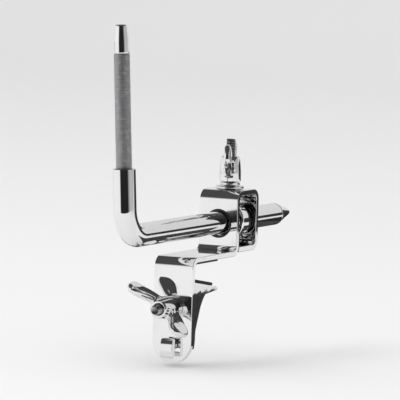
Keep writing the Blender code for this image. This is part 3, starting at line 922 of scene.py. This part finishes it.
# %% Nylon liners
for name, outer, inward in (("front", LOOP_Y, 1), ("back", strip_high[1], -1)):
    outside = outer - inward * 0.4 * MM
    behind = outer + inward * (STRIP_T + GAP)
    flange = outer + inward * (STRIP_T + 1.2 * MM)
    profile = [
        (7.8 * MM, outside), (HOLE_R - GAP, outside), (HOLE_R - GAP, behind),
        (HOLE_R + 0.4 * MM, behind), (HOLE_R + 0.4 * MM, flange), (7.8 * MM, flange),
    ]
    liner = bmesh.new()
    upright_ring(liner, rounded(profile, 0.2 * MM, 3), 96, Matrix.Translation((0, 0, hole_z)) @ ALONG_Y)
    piece(name + "_liner_moulding", liner, NYLON, "bracket", [name + "_hole_liner"], sharp=50)

# %% [markdown]
# The nut is a bar with a rounded front that rocks in the claw's seat, so the screw can pull at any tilt. It
# is drawn from the side and drilled. The snap ring sits in a groove behind it.

# %% Half-round nut and snap ring
NUT_R = 6 * MM
nut_front = FACE_Y + 9.3 * MM
half_round = [
    (nut_front + NUT_R + NUT_R * math.cos(a), SCREW_Z + NUT_R * math.sin(a))
    for a in [math.radians(125 + 110 * k / 24) for k in range(25)]
]
half_round += [(nut_front + 5.2 * MM, half_round[-1][1]), (nut_front + 5.2 * MM, half_round[0][1])]
nut = flat_shape(half_round, -8.5 * MM, 8.5 * MM)
nut.transform(SIDEWAYS)
drill = flat_shape(disc(0, 0, STUD_R + 0.25 * MM, 48), -20 * MM, 20 * MM)
drill.transform(Matrix.Translation((0, nut_front, SCREW_Z)) @ ALONG_Y)
nut = cut(nut, drill)
soften(nut, 0.4 * MM, 3, 40.0)
piece("half_round_nut", nut, PLATED, "clamp_nut", ["claw_nut"])

snap = bmesh.new()
groove = FACE_Y + 23.5 * MM - 1.8 * MM
section = rounded(rectangle(2.75 * MM, groove - 0.78 * MM, 4.55 * MM, groove - 0.22 * MM), 0.15 * MM, 3)
split_ring(snap, section, 2.0, math.radians(310), 56, on_screw)
piece("snap_ring", snap, PLATED, "clamp_screw", ["stud_ring"], sharp=50)

# %% [markdown]
# ## Floor, light and camera
# Chrome shows its surroundings, so the studio is the real paint of this picture. The sky is pale with one
# dark quarter behind the camera, as the room is behind a photographer: that is where the dark stripes on the
# rod and the post come from. A camera ray that misses everything sees a plain pale backdrop instead, and the
# light that falls on matt things is even.

# %% Sky
# (bearing in degrees measured from -Y through -X, +Y and +X, brightness of the room there)
SKY_STOPS = [
    (0, 0.02), (10, 0.02), (17, 0.95), (70, 1.0), (120, 0.85), (180, 0.70), (230, 0.45), (275, 0.55),
    (292, 0.30), (299, 0.02),
]


def studio_sky():
    world = bpy.data.worlds.new("studio")
    bpy.context.scene.world = world
    world.use_nodes = True
    sky = Nodes(world.node_tree)
    toward = sky.node("TexCoord", {}, output="Generated")
    x, y, z = [sky.node("SeparateXYZ", {0: toward}, output=k) for k in range(3)]
    turn = sky.node("Math", {0: x, 1: y}, operation="ARCTAN2") * (1 / math.tau) + 0.5
    walls = [(bearing / 360, (grey, grey, grey * 1.01)) for bearing, grey in SKY_STOPS]
    around = sky.node("ValToRGB", {0: turn}, stops=walls)
    lift = sky.node("ValToRGB", {0: z * 0.5 + 0.5}, stops=[(0.63, (0, 0, 0)), (0.73, (1, 1, 1))])
    overhead = (0.07, 0.07, 0.07, 1)
    room = sky.node("Mix", {0: lift, 6: around, 7: overhead}, output=2, data_type="RGBA")
    reflected = sky.node("Background", {0: room, 1: 1.0})
    backdrop = sky.node("Background", {0: (0.93, 0.93, 0.935, 1)})
    even = sky.node("Background", {0: (0.84, 0.84, 0.84, 1)})
    to_camera = sky.node("LightPath", {}, output="Is Camera Ray")
    to_matt = sky.node("LightPath", {}, output="Is Diffuse Ray")
    seen = sky.node("MixShader", {0: to_camera, 1: reflected, 2: backdrop})
    mixed = sky.node("MixShader", {0: to_matt, 1: seen, 2: even})
    sky.tree.links.new(mixed.socket, sky.tree.nodes["World Output"].inputs[0])


studio_sky()
print("sky with", len(SKY_STOPS), "tones around the horizon")

# %% [markdown]
# The floor curves up into a wall, so no horizon shows. Dark flags stand where the drum would be: they are
# hidden from the camera and cast no shadow, and only the chrome sees them.

# %% Sweep and flags
def stage_sheet(name, bm, finish):
    mesh = bpy.data.meshes.new(name)
    bm.to_mesh(mesh)
    bm.free()
    made = bpy.data.objects.new(name, mesh)
    bpy.context.scene.collection.objects.link(made)
    mesh.shade_smooth()
    mesh.materials.append(finish)
    return made


def card(name, corners, finish):
    bm = bmesh.new()
    bm.faces.new([bm.verts.new(corner) for corner in corners])
    return stage_sheet(name, bm, finish)


def drum_flag(name, front, rear, tone):
    """A card cylinder the size of a drum, closed at its front."""
    radius = 0.28
    bm = bmesh.new()
    place = Matrix.Translation((0, front, -radius - 0.022)) @ Matrix.Rotation(math.radians(90), 4, "X")
    pull(bm, first_ring(bm, radius, 64, place, filled=True), (0, rear - front, 0))
    return stage_sheet(name, bm, Finish(name + "_cloth", (tone,) * 3, 0.9, 0.0).material)


def sweep():
    """A floor that curves up into a backdrop, and an apron towards the camera that no chrome sees."""
    z = cad_box[0][2] - 0.002
    curve_r, back, half_width, steps = 1.5, 2.6, 5.0, 24
    quarter = [math.pi / 2 * k / steps for k in range(1, steps + 1)]
    section = [(-0.60, z), (back, z)]
    section += [(back + curve_r * math.sin(a), z + curve_r * (1 - math.cos(a))) for a in quarter]
    section.append((back + curve_r, 4.0))
    bm = bmesh.new()
    points = [bm.verts.new((-half_width, y, height)) for y, height in section]
    edges = [bm.edges.new(pair) for pair in zip(points, points[1:])]
    pull(bm, edges, (2 * half_width, 0, 0))
    paint = Finish("pale_floor", (0.86, 0.86, 0.86), 0.9, 0.0, Specular_IOR_Level=0.0)
    paint.bump(paint.noise(40.0), 0.05, 0.001)
    stage_sheet("sweep", bm, paint.material)
    near, far = -0.6, -3.5
    ground = [(-half_width, far, z), (half_width, far, z), (half_width, near, z), (-half_width, near, z)]
    card("apron", ground, paint.material).visible_glossy = False


sweep()
wall_cloth = Finish("wall_cloth", (0.03,) * 3, 0.9, 0.0).material
flags = [
    drum_flag("near_flag", 0.028, 0.20, 0.05),
    drum_flag("dark_flag", 0.20, 0.82, 0.015),
    card("wall_flag", [(x, 0.8, z) for x, z in rectangle(-0.05, -0.4, 0.9, 0.10)], wall_cloth),
]
for flag in flags:
    flag.visible_camera = False
    flag.visible_shadow = False
    flag.visible_diffuse = False
print("flags:", [flag.name for flag in flags])

# %% [markdown]
# The sky does most of the lighting. Three weak area lamps add a soft direction to the rubber and the floor,
# and stay out of the reflections.

# %% Lamps
def lamp(name, place, aim, size, power):
    data = bpy.data.lights.new(name, "AREA")
    data.shape = "RECTANGLE"
    data.size, data.size_y = size
    data.energy = power
    made = bpy.data.objects.new(name, data)
    made.location = place
    made.rotation_euler = (Vector(aim) - Vector(place)).to_track_quat("-Z", "Y").to_euler()
    made.visible_glossy = False
    bpy.context.scene.collection.objects.link(made)
    print(name, "lamp of", power, "W")


lamp("key", (-0.9, -0.8, 1.3), (0, 0, 0), (0.8, 0.8), 7.0)
lamp("fill", (1.2, -1.0, 0.9), (0, 0, 0), (1.0, 1.0), 2.5)
lamp("backdrop wash", (0.0, 0.6, 2.6), (0.0, 2.6, 0.4), (3.0, 1.0), 10.0)

# %% [markdown]
# The camera stands nearly three metres off with a very long lens, a little to the right and slightly above,
# which flattens the holder as a catalogue picture does. A long lens also keeps the rod's sides parallel.

# %% Camera
BEARING, RISE, ROLL = math.radians(25.41), math.radians(6.08), math.radians(1.6)
DISTANCE = 2.8202
FIRST_AIM = Vector((0.043, 0.0, -0.0171))
level = Vector((math.sin(BEARING), -math.cos(BEARING), 0))
away = level * math.cos(RISE) + Vector((0, 0, math.sin(RISE)))
eye_point = FIRST_AIM + away * DISTANCE
camera_data = bpy.data.cameras.new("camera")
camera_data.lens = 420.0
camera_data.sensor_width = 36.0
camera_data.clip_start = 0.05
camera = bpy.data.objects.new("camera", camera_data)
bpy.context.scene.collection.objects.link(camera)
target = Vector((0.006, 0.0, 0.038))
look = (target - eye_point).to_track_quat("-Z", "Y").to_matrix().to_4x4()
camera.matrix_world = Matrix.Translation(eye_point) @ look @ Matrix.Rotation(ROLL, 4, "Z")
bpy.context.scene.camera = camera
bpy.context.scene.view_settings.view_transform = "Standard"
print("camera", round(DISTANCE, 2), "m away, lens", camera_data.lens, "mm")
